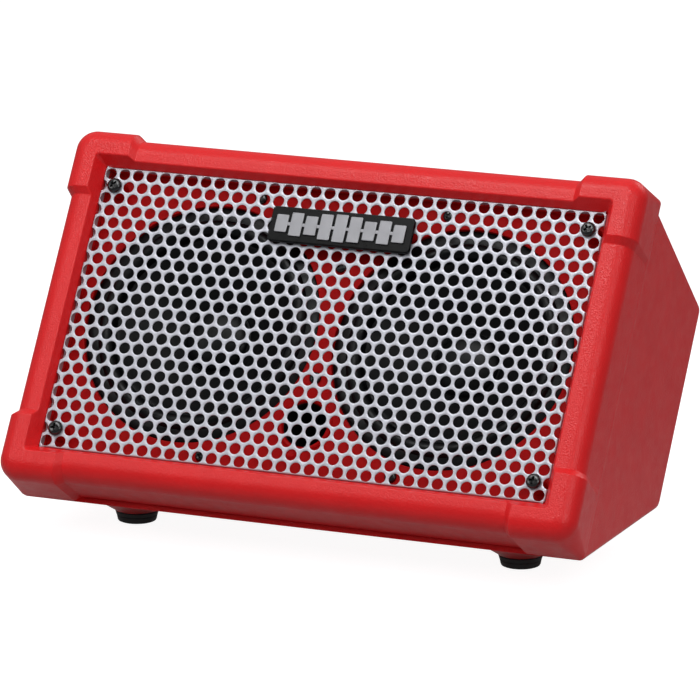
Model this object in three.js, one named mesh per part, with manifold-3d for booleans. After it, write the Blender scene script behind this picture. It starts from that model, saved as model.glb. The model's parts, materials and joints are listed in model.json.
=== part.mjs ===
// Portable stereo guitar amplifier. A red moulded cabinet leans back on four rubber feet. Two
// loudspeakers sit behind a perforated steel grille, and the controls are on the rear slope.
// Millimetres, +Z up, the front faces -Y. The origin is on the floor under the object's middle.
import * as THREE from 'three';
import { mergeVertices } from 'three/addons/utils/BufferGeometryUtils.js';
import Module from 'manifold-3d';

const wasm = await Module();
wasm.setup();

// ---- Driving dimensions ---------------------------------------------------------------------

const gap = 0.3; // air between two pieces that rest on each other
const lean = THREE.MathUtils.degToRad(32.8); // how far the front leans back
const holePitch = 9.73; // distance between neighbouring holes of the grille

const opening = { halfWidth: 18 * holePitch, halfHeight: 10 * holePitch, corner: 0.8 };
const bar = { halfWidth: 196.3, halfHeight: 118, taperX: 0.1, taperZ: 0.1, front: 5.5, bevel: 3.2 };
const guard = { halfWidth: 199.3, halfHeight: 121.3, taperX: 3.1, taperZ: 0.1, front: 9, bevel: 5.6 };
const guardLength = 42; // from the cabinet's outer corner to where the guard starts to fall away
const guardRamp = 5; // length of the slope at the end of a guard
const bandDepth = 36; // from the grille face back to where the band around the front ends
const seamDepth = 31; // the joint between the front frame and the rear case
const frameWall = 4;
const edgeRadius = 12; // rounding between the front and the sides
const cornerRadius = 14; // rounding of the cabinet's four corners at the front
const backCorner = 3; // the same corners are sharper where the band ends

const baffleFront = 11;
const baffleThickness = 4;
const baffleBack = baffleFront + baffleThickness;
const grilleSheet = 1.2;
const grilleDepth = 5; // how far the grille's edges are folded back

const caseHalfWidth = 196;
const caseWall = 3.5;
const caseEdge = 4;
const caseBack = 149; // the back is parallel to the front, this far behind the grille face
const caseTop = 113.4; // height of the panel slope where the band ends
const chinDepth = 34.5; // where the flat underside starts, just behind the joint
const slopeAngle = THREE.MathUtils.degToRad(11.65); // the panel slope, against the front's normal
const bottomDrop = 121.4; // from the grille's centre down to the flat underside
const floorDrop = 142.5; // from the grille's centre down to the floor
const middleSetback = 51.93; // from the grille's centre back to the middle of the object

const footHeight = 7.5;
const footRadius = 14.3;
const frontFeet = { x: 134.8, y: 10.3, base: 36 };
const rearFeet = { x: 134.8, y: 70, base: 27 };
const pedestalTop = 15.5;

const speakerX = 87.4;
const speakerHole = 81;
const coneRadius = 61;
const port = { z: -60, radius: 15, wall: 2.4, length: 55 };

const panel = { halfWidth: 175, halfDepth: 38.5, thickness: 2.5, recess: 1.5 };
const knob = { y: -12, spacing: 32, count: 8, radius: 7.6, height: 13, stem: 3 };
const boardDepth = 14; // from the slope's surface down to the control board's underside
const jackX = 153;

const door = { halfWidth: 62, bottom: -34, top: 28, thickness: 2.6 };
const plate = { x: 128, z: -4, halfWidth: 50, halfHeight: 18, thickness: 2, recess: 0.5 };
const grip = { halfWidth: 62, bottom: 57, top: 81, depth: 22, wall: 2.5 };

// ---- Materials ------------------------------------------------------------------------------

const finish = (color, roughness, metalness = 0) =>
  new THREE.MeshStandardMaterial({ color, roughness, metalness });

const redPlastic = finish('#d3242a', 0.42);
const blackPlastic = finish('#17181a', 0.5);
const grilleSteel = finish('#cdd0d8', 0.35, 0.6);
const badgeBlack = finish('#121316', 0.3);
const badgeSilver = finish('#b9bcc3', 0.35, 0.7);
const blackScrew = finish('#101214', 0.3, 0.7);
const rubber = finish('#0f1011', 0.85);
const conePaper = finish('#1b1c1f', 0.8);
const basketSteel = finish('#26272a', 0.5, 0.7);
const ferrite = finish('#3a3b3e', 0.7, 0.2);
const circuitGreen = finish('#1f5a34', 0.5);
const socketMetal = finish('#a9abb0', 0.3, 0.9);
const ledRed = finish('#ff3a26', 0.3);
const cellSleeve = finish('#6d7178', 0.4, 0.5);

// ---- Solids and joins -----------------------------------------------------------------------

// A geometry as a solid with its faces pointing out.
function toSolid(geometry) {
  const bare = geometry.clone();
  bare.deleteAttribute('normal');
  bare.deleteAttribute('uv');
  const merged = mergeVertices(bare, 1e-4);
  const points = merged.attributes.position.array;
  const corners = [];
  for (let i = 0; i < merged.index.count; i += 3) {
    const [a, b, c] = [0, 1, 2].map((k) => merged.index.getX(i + k));
    if (a !== b && b !== c && a !== c) corners.push(a, b, c);
  }
  if (signedVolume(points, corners) < 0) corners.reverse();
  return new wasm.Manifold(new wasm.Mesh({
    numProp: 3,
    vertProperties: new Float32Array(points),
    triVerts: new Uint32Array(corners),
  }));
}

function signedVolume(points, corners) {
  const [a, b, c] = [new THREE.Vector3(), new THREE.Vector3(), new THREE.Vector3()];
  let total = 0;
  for (let i = 0; i < corners.length; i += 3) {
    a.fromArray(points, 3 * corners[i]);
    b.fromArray(points, 3 * corners[i + 1]);
    c.fromArray(points, 3 * corners[i + 2]);
    total += a.dot(b.cross(c)) / 6;
  }
  return total;
}

function toGeometry(solid) {
  const mesh = solid.getMesh();
  const geometry = new THREE.BufferGeometry();
  geometry.setAttribute('position', new THREE.BufferAttribute(mesh.vertProperties, 3));
  geometry.setIndex(new THREE.BufferAttribute(mesh.triVerts, 1));
  return geometry;
}

// Joins the first list of geometries and cuts the second list out of it.
function build(joined, removed = []) {
  let solid = toSolid(joined[0]);
  for (const geometry of joined.slice(1)) solid = solid.add(toSolid(geometry));
  for (const geometry of removed) solid = solid.subtract(toSolid(geometry));
  return toGeometry(solid);
}

// ---- Basic shapes ---------------------------------------------------------------------------

// A box between two corners.
function box(low, high) {
  const [w, d, h] = [0, 1, 2].map((k) => high[k] - low[k]);
  const geometry = new THREE.BoxGeometry(w, d, h);
  return geometry.translate(low[0] + w / 2, low[1] + d / 2, low[2] + h / 2);
}

// A disc or rod along y from one depth to another.
function rodY(radius, from, to, x = 0, z = 0, segments = 12) {
  const geometry = new THREE.CylinderGeometry(radius, radius, to - from, segments);
  return geometry.translate(x, (from + to) / 2, z);
}

// A disc or rod along z from one height to another.
function rodZ(radius, from, to, x = 0, y = 0, segments = 12) {
  const geometry = new THREE.CylinderGeometry(radius, radius, to - from, segments);
  return geometry.rotateX(Math.PI / 2).translate(x, y, (from + to) / 2);
}

// A body of revolution around y. The profile is a list of [radius, y] that closes on itself or
// on the axis.
function turnedY(profile, segments) {
  const onAxis = profile[0][0] === 0 && profile.at(-1)[0] === 0;
  const closed = onAxis ? profile : [...profile, profile[0]];
  const points = closed.map(([radius, y]) => new THREE.Vector2(radius, y));
  return build([new THREE.LatheGeometry(points, segments)]);
}

// The same around z.
const turnedZ = (profile, segments) => turnedY(profile, segments).rotateX(Math.PI / 2);

// A surface through closed loops of points. The last loop either joins the first or both ends
// are closed with flat caps.
function skin(loops, ring) {
  const count = loops[0].length;
  const points = loops.flat();
  const index = [];
  const last = ring ? loops.length : loops.length - 1;
  for (let i = 0; i < last; i += 1) {
    const next = ((i + 1) % loops.length) * count;
    for (let j = 0; j < count; j += 1) {
      const k = (j + 1) % count;
      const corners = [i * count + j, i * count + k, next + k, next + j];
      index.push(corners[0], corners[1], corners[2], corners[0], corners[2], corners[3]);
    }
  }
  if (!ring) {
    const end = (loops.length - 1) * count;
    for (let j = 1; j < count - 1; j += 1) {
      index.push(0, j + 1, j, end, end + j, end + j + 1);
    }
  }
  const geometry = new THREE.BufferGeometry();
  geometry.setAttribute('position', new THREE.Float32BufferAttribute(points.flat(), 3));
  geometry.setIndex(index);
  return build([geometry]);
}

// An upright shape, given around the grille's centre, turned into the leaning front's frame.
const upright = (geometry) => geometry.rotateX(lean);

// ---- Front frame ----------------------------------------------------------------------------

// The frame's cross-section as rounded rectangles: half width, half height, corner, depth.
function frameSection(shape) {
  const arcSteps = 4;
  const lip = baffleFront - gap;
  const section = [
    [opening.halfWidth, opening.halfHeight, opening.corner, lip],
    [opening.halfWidth, opening.halfHeight, opening.corner, 0.8],
    [opening.halfWidth + shape.bevel, opening.halfHeight + shape.bevel, 3, -shape.front],
  ];
  for (let i = 0; i <= arcSteps; i += 1) {
    const turn = (Math.PI / 2) * (i / arcSteps);
    const shrink = edgeRadius * (1 - Math.sin(turn));
    section.push([
      shape.halfWidth - shrink,
      shape.halfHeight - shrink,
      cornerRadius - shrink,
      -shape.front + edgeRadius * (1 - Math.cos(turn)),
    ]);
  }
  section.push(bandRow(shape, 0, seamDepth));
  section.push(bandRow(shape, frameWall, seamDepth), bandRow(shape, frameWall, lip));
  return section;
}

// The rounded rectangle around the band at one depth. Towards its back the band tapers and its
// corners get sharper.
function bandRow(shape, inset, y) {
  const start = edgeRadius - shape.front;
  const share = Math.max(0, (y - start) / (bandDepth - start));
  const corner = Math.max(cornerRadius + (backCorner - cornerRadius) * share - inset, 0.5);
  const halfWidth = shape.halfWidth - inset - shape.taperX * share;
  const halfHeight = shape.halfHeight - inset - shape.taperZ * share;
  return [halfWidth, halfHeight, corner, y];
}

function blendSections(a, b, share) {
  return a.map((row, i) => row.map((value, k) => value + (b[i][k] - value) * share));
}

// The stations around the frame. Every one places a rounded rectangle's point from its size.
function frameStations() {
  const cornerSteps = 4;
  const rampX = guard.halfWidth - guardLength;
  const rampZ = guard.halfHeight - guardLength;
  const stations = [];
  const addCorner = (sx, sz, startAngle) => {
    for (let i = 0; i <= cornerSteps; i += 1) {
      const angle = startAngle + (Math.PI / 2) * (i / cornerSteps);
      const place = ([hw, hh, r]) => [
        sx * (hw - r) + r * Math.cos(angle),
        sz * (hh - r) + r * Math.sin(angle),
      ];
      stations.push({ share: 1, place });
    }
  };
  const addSide = (from, makePlace) => {
    const stops = [
      [from, 1],
      [from - Math.sign(from) * guardRamp, 0],
      [-from + Math.sign(from) * guardRamp, 0],
      [-from, 1],
    ];
    for (const [at, share] of stops) stations.push({ share, place: makePlace(at) });
  };
  addCorner(1, 1, 0);
  addSide(rampX, (at) => ([, hh]) => [at, hh]);
  addCorner(-1, 1, Math.PI / 2);
  addSide(rampZ, (at) => ([hw]) => [-hw, at]);
  addCorner(-1, -1, Math.PI);
  addSide(-rampX, (at) => ([, hh]) => [at, -hh]);
  addCorner(1, -1, 1.5 * Math.PI);
  addSide(-rampZ, (at) => ([hw]) => [hw, at]);
  return stations;
}

// A closed band around the front, from the bar's cross-section and the guard's.
function bandSolid(makeSection) {
  const barSection = makeSection(bar);
  const guardSection = makeSection(guard);
  const loops = frameStations().map(({ share, place }) =>
    blendSections(barSection, guardSection, share).map((row) => {
      const [x, z] = place(row);
      return [x, row[3], z];
    }));
  return skin(loops, true);
}

const frontFrame = () => bandSolid(frameSection);

// ---- Baffle, grille and badge ---------------------------------------------------------------

const grilleScrews = [-1, 1].flatMap((sx) => [-1, 1].map((sz) => [
  sx * 17 * holePitch,
  sz * 10 * holePitch * Math.cos(Math.PI / 6),
]));

function roundedPlate(halfWidth, halfHeight, corner, from, to) {
  const shape = new THREE.Shape();
  shape.moveTo(halfWidth, halfHeight - corner);
  shape.absarc(halfWidth - corner, halfHeight - corner, corner, 0, Math.PI / 2);
  shape.absarc(corner - halfWidth, halfHeight - corner, corner, Math.PI / 2, Math.PI);
  shape.absarc(corner - halfWidth, corner - halfHeight, corner, Math.PI, 1.5 * Math.PI);
  shape.absarc(halfWidth - corner, corner - halfHeight, corner, 1.5 * Math.PI, 2 * Math.PI);
  const solid = new THREE.ExtrudeGeometry(shape, {
    depth: to - from,
    bevelEnabled: false,
    curveSegments: 3,
  });
  return solid.rotateX(Math.PI / 2).translate(0, to, 0);
}

function baffle() {
  const halfWidth = bar.halfWidth - frameWall - 1;
  const halfHeight = bar.halfHeight - frameWall - 1;
  const board = roundedPlate(halfWidth, halfHeight, cornerRadius - frameWall, baffleFront, baffleBack);
  const posts = grilleScrews.map(([x, z]) => rodY(5, grilleSheet + gap, baffleFront + 1, x, z));
  const [from, to] = [baffleFront - 1, baffleBack + 1];
  return build([board, ...posts], [
    rodY(speakerHole, from, to, -speakerX, 0, 36),
    rodY(speakerHole, from, to, speakerX, 0, 36),
    rodY(port.radius, from, to, 0, port.z, 16),
    ...grilleScrews.map(([x, z]) => rodY(2.4, 0, to, x, z, 8)),
  ]);
}

// The grille is a folded tray. Its face is the sheet, and it stands on the baffle's four posts.
function grille() {
  const [w, h] = [opening.halfWidth - gap, opening.halfHeight - gap];
  return build([box([-w, 0, -h], [w, grilleDepth, h])], [
    box(
      [grilleSheet - w, grilleSheet, grilleSheet - h],
      [w - grilleSheet, grilleDepth + 1, h - grilleSheet],
    ),
    ...grilleScrews.map(([x, z]) => rodY(2.8, -1, 3, x, z, 8)),
  ]);
}

// A pan head with its shank, through the grille into the baffle.
const grilleScrew = () => turnedY([
  [0, -3.6], [2.6, -3.3], [4.4, -2.2], [5, -0.9], [5, -gap], [2, -gap], [2, 20], [0, 22],
], 12);

const badge = { z: 68, halfWidth: 49.5, halfHeight: 12, thickness: 3.6 };

const badgePlate = () =>
  roundedPlate(badge.halfWidth, badge.halfHeight, 3, -gap - badge.thickness, -gap)
    .translate(0, 0, badge.z);

// A plain row of level bars on one thin line.
function badgeMotif() {
  const heights = [7, 12, 9, 15, 18, 15, 9, 12, 7];
  const [front, back] = [-badge.thickness - 2 * gap - 0.8, -badge.thickness - 2 * gap];
  const step = 9.6;
  const bars = heights.map((height, i) => {
    const x = (i - (heights.length - 1) / 2) * step;
    return box([x - 3.4, front, badge.z - height / 2], [x + 3.4, back, badge.z + height / 2]);
  });
  const line = box([-42, front + 0.2, badge.z - 0.6], [42, back, badge.z + 0.6]);
  return build([line, ...bars]);
}

// ---- Rear case ------------------------------------------------------------------------------

// The case's side outline as rounded corners. Every side but the open front moves in by the inset.
function caseOutline(inset, front) {
  const slope = Math.tan(slopeAngle);
  const back = caseBack - inset;
  const drop = inset / Math.cos(slopeAngle);
  const lift = inset / Math.cos(lean);
  const topAt = (y) => caseTop - (y - bandDepth) * slope - drop;
  const bottomAt = (y) => (-bottomDrop + y * Math.sin(lean)) / Math.cos(lean) + lift;
  const chinHeight = bar.taperZ - bar.halfHeight + lift;
  const corners = [
    [front, topAt(front), 0],
    [back, topAt(back), Math.max(6 - inset, 0.5)],
    [back, bottomAt(back), Math.max(8 - inset, 0.5)],
    [chinDepth, bottomAt(chinDepth), 0],
    [front, Math.max(chinHeight, bottomAt(front)), 0],
  ];
  return corners.flatMap((corner, i) =>
    filletCorner(corners.at(i - 1), corner, corners[(i + 1) % corners.length]));
}

// A rounded corner as four points on its arc. A radius of 0 keeps the one sharp point.
function filletCorner(before, corner, after) {
  const [y, z, radius] = corner;
  if (radius === 0) return [[y, z]];
  const at = new THREE.Vector2(y, z);
  const toBefore = new THREE.Vector2(before[0], before[1]).sub(at).normalize();
  const toAfter = new THREE.Vector2(after[0], after[1]).sub(at).normalize();
  const half = Math.acos(toBefore.dot(toAfter)) / 2;
  const middle = toBefore.clone().add(toAfter).normalize();
  const centre = at.clone().addScaledVector(middle, radius / Math.sin(half));
  const start = toBefore.multiplyScalar(radius / Math.tan(half)).add(at).sub(centre);
  const end = toAfter.multiplyScalar(radius / Math.tan(half)).add(at).sub(centre);
  const sweep = Math.atan2(start.cross(end), start.dot(end));
  return [0, 1, 2, 3].map((k) => {
    const point = start.clone().rotateAround(new THREE.Vector2(), sweep * (k / 3)).add(centre);
    return [point.x, point.y];
  });
}

function caseSolid(inset, front) {
  const steps = 3;
  const edge = Math.max(caseEdge - inset, 0.5);
  const half = caseHalfWidth - inset;
  const stations = [];
  for (let i = 0; i <= steps; i += 1) {
    const turn = (Math.PI / 2) * (i / steps);
    stations.push([half - edge + edge * Math.cos(turn), edge * (1 - Math.sin(turn))]);
  }
  const loopAt = ([x, extra]) =>
    caseOutline(inset + extra, front).map(([y, z]) => [x, y, z]);
  const right = stations.map(loopAt);
  const left = [...stations].reverse().map(([x, extra]) => loopAt([-x, extra]));
  return skin([...right, ...left], false);
}

// The four shallow cones under the case that carry the feet.
function pedestals() {
  const low = footHeight + gap - floorDrop;
  const rim = 0.2 - bottomDrop;
  const root = caseWall / 2 - bottomDrop;
  return footPlaces().map(({ x, y, base }) => {
    const profile = [[0, low], [pedestalTop, low], [base, rim], [base, root], [0, root]];
    return upright(turnedZ(profile, 20).translate(x, y, 0));
  });
}

const footPlaces = () => [frontFeet, rearFeet].flatMap((foot) => [
  { ...foot, x: -foot.x },
  foot,
]);

function rearCase() {
  const out = caseBack + 1;
  const back = caseBack - caseWall;
  const cup = box(
    [-grip.halfWidth - grip.wall, caseBack - grip.depth - grip.wall, grip.bottom - grip.wall],
    [grip.halfWidth + grip.wall, caseBack - 1, grip.top + grip.wall],
  );
  const collar = (shape) => [
    bandRow(shape, 0, seamDepth + gap),
    bandRow(shape, 0, bandDepth),
    bandRow(shape, frameWall + 5, bandDepth),
    bandRow(shape, frameWall, bandDepth - 3),
    bandRow(shape, frameWall, seamDepth + gap),
  ];
  const shell = build([caseSolid(0, seamDepth + gap), bandSolid(collar), ...pedestals()], [
    caseSolid(caseWall, seamDepth - 1),
  ]);
  return build([shell, cup], [
    box(
      [-grip.halfWidth, caseBack - grip.depth, grip.bottom],
      [grip.halfWidth, out, grip.top],
    ),
    box(
      [-door.halfWidth - gap, back - 1, door.bottom - gap],
      [door.halfWidth + gap, out, door.top + gap],
    ),
    box(
      [plate.x - plate.halfWidth - gap, back - 1, plate.z - plate.halfHeight - gap],
      [plate.x + plate.halfWidth + gap, out, plate.z + plate.halfHeight + gap],
    ),
    onSlope(box(
      [-panel.halfWidth - gap, -panel.halfDepth - gap, -caseWall - 1],
      [panel.halfWidth + gap, panel.halfDepth + gap, 1],
    )),
  ]);
}

// The middle of the panel slope, in the leaning front's frame.
const slopeMiddle = (() => {
  const y = (bandDepth + caseBack) / 2;
  return [0, y, caseTop - (y - bandDepth) * Math.tan(slopeAngle)];
})();

const onSlope = (geometry) => geometry.rotateX(-slopeAngle).translate(...slopeMiddle);

// ---- Loudspeakers ---------------------------------------------------------------------------

const flangeFront = baffleBack + gap;

const speakerBasket = () => turnedY([
  [73.5, flangeFront], [86.8, flangeFront], [86.8, 17.5], [77.5, 17.5], [40, 61], [40, 64],
  [21, 64], [21, 62], [37, 62], [75.4, 17.5], [73.5, 17.5],
], 24);

const speakerMagnet = () => turnedY([
  [0, 64.3], [15.6, 64.3], [15.6, 84], [19.9, 84], [19.9, 64.3], [36, 64.3], [36, 69],
  [42, 69], [42, 86], [38, 90], [0, 90],
], 18);

// A glued rim and one half roll that carries the cone.
function speakerSurround() {
  const roll = { middle: 66.9, outer: 5.6, inner: 4.6, y: flangeFront - gap };
  const arc = (radius, from, to) => [0, 1, 2, 3].map((k) => {
    const turn = Math.PI * (from + (to - from) * (k / 3));
    return [roll.middle + radius * Math.cos(turn), roll.y - radius * Math.sin(turn)];
  });
  const rim = speakerHole - 0.6;
  return turnedY([
    [rim, roll.y - 1.6], [73.4, roll.y - 1.6], ...arc(roll.outer, 0.12, 1),
    [coneRadius + gap, 17.5], [62.3, 17.5], ...arc(roll.inner, 1, 0), [rim, roll.y],
  ], 24);
}

// The paper cone with its voice coil's tube.
const speakerCone = () => turnedY([
  [coneRadius, 17], [coneRadius, 18.4], [18.4, 47.5], [18.4, 76], [17.2, 76], [17.2, 45.5],
  [59.6, 17],
], 24);

const dustCap = () => turnedY([
  [0, 34.5], [8, 35.3], [15, 37.6], [22, 41.6], [21.2, 42.2], [14.4, 38.4], [7.6, 36.2], [0, 35.4],
], 16);

const bassPort = () => turnedY([
  [port.radius, flangeFront], [port.radius + port.wall, flangeFront],
  [port.radius + port.wall, flangeFront + port.length], [port.radius, flangeFront + port.length],
], 16).translate(0, 0, port.z);

// ---- Electronics and battery ----------------------------------------------------------------

// The amplifier board lies above the case's floor with its heat sink and two capacitors.
function amplifierBoard() {
  const z = -106;
  const fins = [0, 1, 2, 3, 4].map((k) => box([20, 8 + 10 * k, z + 3], [76, 11 + 10 * k, z + 15]));
  return upright(build([
    box([-85, 0, z], [85, 60, z + 1.6]),
    box([20, 4, z + 1], [76, 56, z + 4]),
    ...fins,
    rodZ(8, z + 1, z + 18, -30, 20, 12),
    rodZ(8, z + 1, z + 18, -55, 20, 12),
  ]));
}

function batteryTray() {
  const front = caseBack - caseWall - gap;
  return build(
    [box([-68, front - 22, door.bottom - 5], [68, front, door.top + 5])],
    [box([-54, front - 20, door.bottom + 1], [54, front + 1, door.top - 1])],
  );
}

// Four cells side by side, held as one row.
function cellRow(x) {
  const radius = 7.1;
  const [length, y] = [50, caseBack - caseWall - gap - 12];
  const middle = (door.top + door.bottom) / 2;
  const cells = [0, 1, 2, 3].map((k) => {
    const cell = new THREE.CylinderGeometry(radius, radius, length, 12);
    return cell.rotateZ(Math.PI / 2).translate(x, y, middle + (k - 1.5) * 14.4);
  });
  const sleeve = box([x - 20, y - 1, middle - 25], [x + 20, y + 1, middle + 25]);
  return build([sleeve, ...cells]);
}

const batteryDoor = () => {
  const y = caseBack - door.thickness;
  const leaf = box([-door.halfWidth, y, door.bottom], [door.halfWidth, caseBack, door.top]);
  const fingerDip = box([-9, caseBack - 1.2, door.top - 8], [9, caseBack + 1, door.top + 1]);
  return build([leaf], [fingerDip]);
};

// ---- Rear sockets ---------------------------------------------------------------------------

const plateOut = caseBack - plate.recess;
const sockets = { phones: plate.x + 30, footswitch: plate.x + 6, power: plate.x - 28 };

function jackPlate() {
  const y = plateOut - plate.thickness;
  const sheet = box(
    [plate.x - plate.halfWidth, y, plate.z - plate.halfHeight],
    [plate.x + plate.halfWidth, plateOut, plate.z + plate.halfHeight],
  );
  const hole = (x, radius) => rodY(radius, y - 1, plateOut + 1, x, plate.z, 16);
  return build([sheet], [
    hole(sockets.phones, 5),
    hole(sockets.footswitch, 5),
    hole(sockets.power, 6),
  ]);
}

// A threaded sleeve with its nut outside the plate and its socket inside.
const phoneSocket = () => turnedY([
  [3.2, -20], [3.2, 3.2], [4.7, 3.2], [4.7, 2.6], [7.2, 2.6], [7.2, gap], [4.7, gap],
  [4.7, -plate.thickness - gap], [9, -plate.thickness - gap], [9, -22], [0, -22], [0, -20],
], 12);

// A socket with its pin for a mains adaptor's plug.
const powerSocket = () => turnedY([
  [0, -14], [0, -2], [1, -3], [1, -12], [3, -12], [3, 0.8], [5.7, 0.8],
  [5.7, -plate.thickness - gap], [8, -plate.thickness - gap], [8, -14],
], 12);

// ---- Control panel --------------------------------------------------------------------------

const panelTop = -panel.recess;
const panelUnder = panelTop - panel.thickness;
const knobXs = [...Array(knob.count).keys()].map((k) => (k - (knob.count - 1) / 2) * knob.spacing);
const buttonXs = [-112, -80, -48];
const buttonY = 20;
const rocker = { x: 112, halfLength: 8, halfWidth: 4.5 };
const ledX = 84;

function controlPanel() {
  const sheet = box(
    [-panel.halfWidth, -panel.halfDepth, panelUnder],
    [panel.halfWidth, panel.halfDepth, panelTop],
  );
  const [low, high] = [panelUnder - 1, panelTop + 1];
  const slot = (x, hw, hd) => box([x - hw, buttonY - hd, low], [x + hw, buttonY + hd, high]);
  return build([sheet], [
    ...knobXs.map((x) => rodZ(knob.stem + 0.8, low, high, x, knob.y, 12)),
    ...[-jackX, jackX].map((x) => rodZ(12.3, low, high, x, 0, 20)),
    ...buttonXs.map((x) => slot(x, 5.4, 3.4)),
    slot(rocker.x, rocker.halfLength + 1.1, rocker.halfWidth + 0.4),
    rodZ(1.9, low, high, ledX, buttonY, 8),
  ]);
}

const controlBoard = () => box([-128, -33, -boardDepth], [128, 26, 1.6 - boardDepth]);

const boardTop = 1.6 - boardDepth + gap;

const potentiometer = () => build([
  rodZ(8, boardTop, boardTop + 5, 0, 0, 12),
  box([-7, -11, boardTop], [7, 0, boardTop + 2]),
]);

// The knob's skirt, grip and flat top, on the potentiometer's shaft. The ridge is its pointer.
function knobSolid() {
  const base = panelTop + 0.8;
  const top = base + knob.height;
  const grip = turnedZ([
    [0, boardTop + 5 + gap], [knob.stem, boardTop + 5 + gap], [knob.stem, base], [knob.radius, base],
    [knob.radius, base + 2], [knob.radius - 1.1, base + 3], [knob.radius - 1.6, top - 0.8],
    [knob.radius - 2.4, top], [0, top],
  ], 14);
  const pointer = box([-0.6, -knob.radius + 0.6, top - 5], [0.6, -2, top + 0.5]);
  return build([grip, pointer]);
}

const pushButton = () => build([
  box([-5, -3, boardTop + 3], [5, 3, panelTop + 1.8]),
  box([-6.4, -4.2, boardTop + 3], [6.4, 4.2, boardTop + 4.2]),
]);

// Two facets that meet in a shallow valley over the pivot.
function rockerSwitch() {
  const { halfLength, halfWidth } = rocker;
  const outline = new THREE.Shape([
    new THREE.Vector2(-halfLength, -3),
    new THREE.Vector2(halfLength, -3),
    new THREE.Vector2(halfLength, 4),
    new THREE.Vector2(0, 2.6),
    new THREE.Vector2(-halfLength, 4),
  ]);
  const body = new THREE.ExtrudeGeometry(outline, { depth: 2 * halfWidth, bevelEnabled: false });
  return build([body.rotateX(Math.PI / 2).translate(0, halfWidth, 0)]);
}

// A locking socket that takes a microphone plug or a jack plug.
const comboSocket = () => turnedZ([
  [0, -20], [3.3, -20], [3.3, -2.5], [9.4, -2.5], [9.4, 0.4], [14, 0.4], [14, panelTop + gap],
  [12, panelTop + gap], [12, -24], [0, -24],
], 16);

const powerLamp = () => turnedZ([
  [0, panelUnder - 4], [1.6, panelUnder - 4], [1.6, panelTop + 0.3], [1, panelTop + 1],
  [0, panelTop + 1.2],
], 8);

// ---- Feet -----------------------------------------------------------------------------------

// A rubber foot with a recess for its fixing. It stands on z = 0.
const foot = () => turnedZ([
  [0, 2.5], [4.5, 2.5], [4.5, 0], [footRadius - 2, 0], [footRadius - 1.4, 0.8],
  [footRadius, footHeight], [0, footHeight],
], 16);

// ---- Assembly -------------------------------------------------------------------------------

const amplifier = new THREE.Group();
const front = new THREE.Group();
front.rotation.x = -lean;
front.position.set(0, -middleSetback, floorDrop);
amplifier.add(front);

const slope = new THREE.Group();
slope.rotation.x = -slopeAngle;
slope.position.set(...slopeMiddle);
front.add(slope);

function place(parent, name, geometry, material, x = 0, y = 0, z = 0) {
  const mesh = new THREE.Mesh(geometry, material);
  mesh.name = name;
  mesh.position.set(x, y, z);
  parent.add(mesh);
  return mesh;
}

place(front, 'front_frame', frontFrame(), redPlastic);
place(front, 'baffle', baffle(), redPlastic);
place(front, 'grille', grille(), grilleSteel);
place(front, 'badge_plate', badgePlate(), badgeBlack);
place(front, 'badge_motif', badgeMotif(), badgeSilver);
place(front, 'rear_case', rearCase(), redPlastic);
place(front, 'bass_port', bassPort(), blackPlastic);
place(front, 'amplifier_board', amplifierBoard(), circuitGreen);
grilleScrews.forEach(([x, z], k) => {
  place(front, `grille_screw_${k + 1}`, grilleScrew(), blackScrew, x, 0, z);
});

for (const [side, x] of [['left', -speakerX], ['right', speakerX]]) {
  place(front, `speaker_basket_${side}`, speakerBasket(), basketSteel, x);
  place(front, `speaker_magnet_${side}`, speakerMagnet(), ferrite, x);
  place(front, `speaker_surround_${side}`, speakerSurround(), rubber, x);
  place(front, `speaker_cone_${side}`, speakerCone(), conePaper, x);
  place(front, `dust_cap_${side}`, dustCap(), conePaper, x);
}

place(front, 'battery_tray', batteryTray(), blackPlastic);
place(front, 'battery_cells_left', cellRow(-25.5), cellSleeve);
place(front, 'battery_cells_right', cellRow(25.5), cellSleeve);
place(front, 'battery_door', batteryDoor(), redPlastic);
place(front, 'jack_plate', jackPlate(), blackPlastic);
place(front, 'phones_jack', phoneSocket(), socketMetal, sockets.phones, plateOut, plate.z);
place(front, 'footswitch_jack', phoneSocket(), socketMetal, sockets.footswitch, plateOut, plate.z);
place(front, 'power_jack', powerSocket(), blackPlastic, sockets.power, plateOut, plate.z);

place(slope, 'control_panel', controlPanel(), blackPlastic);
place(slope, 'control_board', controlBoard(), circuitGreen);
place(slope, 'microphone_jack', comboSocket(), blackPlastic, jackX);
place(slope, 'guitar_jack', comboSocket(), blackPlastic, -jackX);
knobXs.forEach((x, k) => {
  place(slope, `potentiometer_${k + 1}`, potentiometer(), basketSteel, x, knob.y);
  place(slope, `knob_${k + 1}`, knobSolid(), blackPlastic, x, knob.y);
});
buttonXs.forEach((x, k) => {
  place(slope, `push_button_${k + 1}`, pushButton(), blackPlastic, x, buttonY);
});
place(slope, 'power_lamp', powerLamp(), ledRed, ledX, buttonY);
const power = place(slope, 'power_switch', rockerSwitch(), blackPlastic, rocker.x, buttonY, -4);
power.rotation.y = THREE.MathUtils.degToRad(-8);

footPlaces().forEach(({ x, y }, k) => {
  place(amplifier, `foot_${k + 1}`, foot(), rubber, x, y - middleSetback, 0);
});

export default amplifier;
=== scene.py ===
import json
import math

import bmesh
import bpy
import numpy as np
from mathutils import Matrix, Vector


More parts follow.
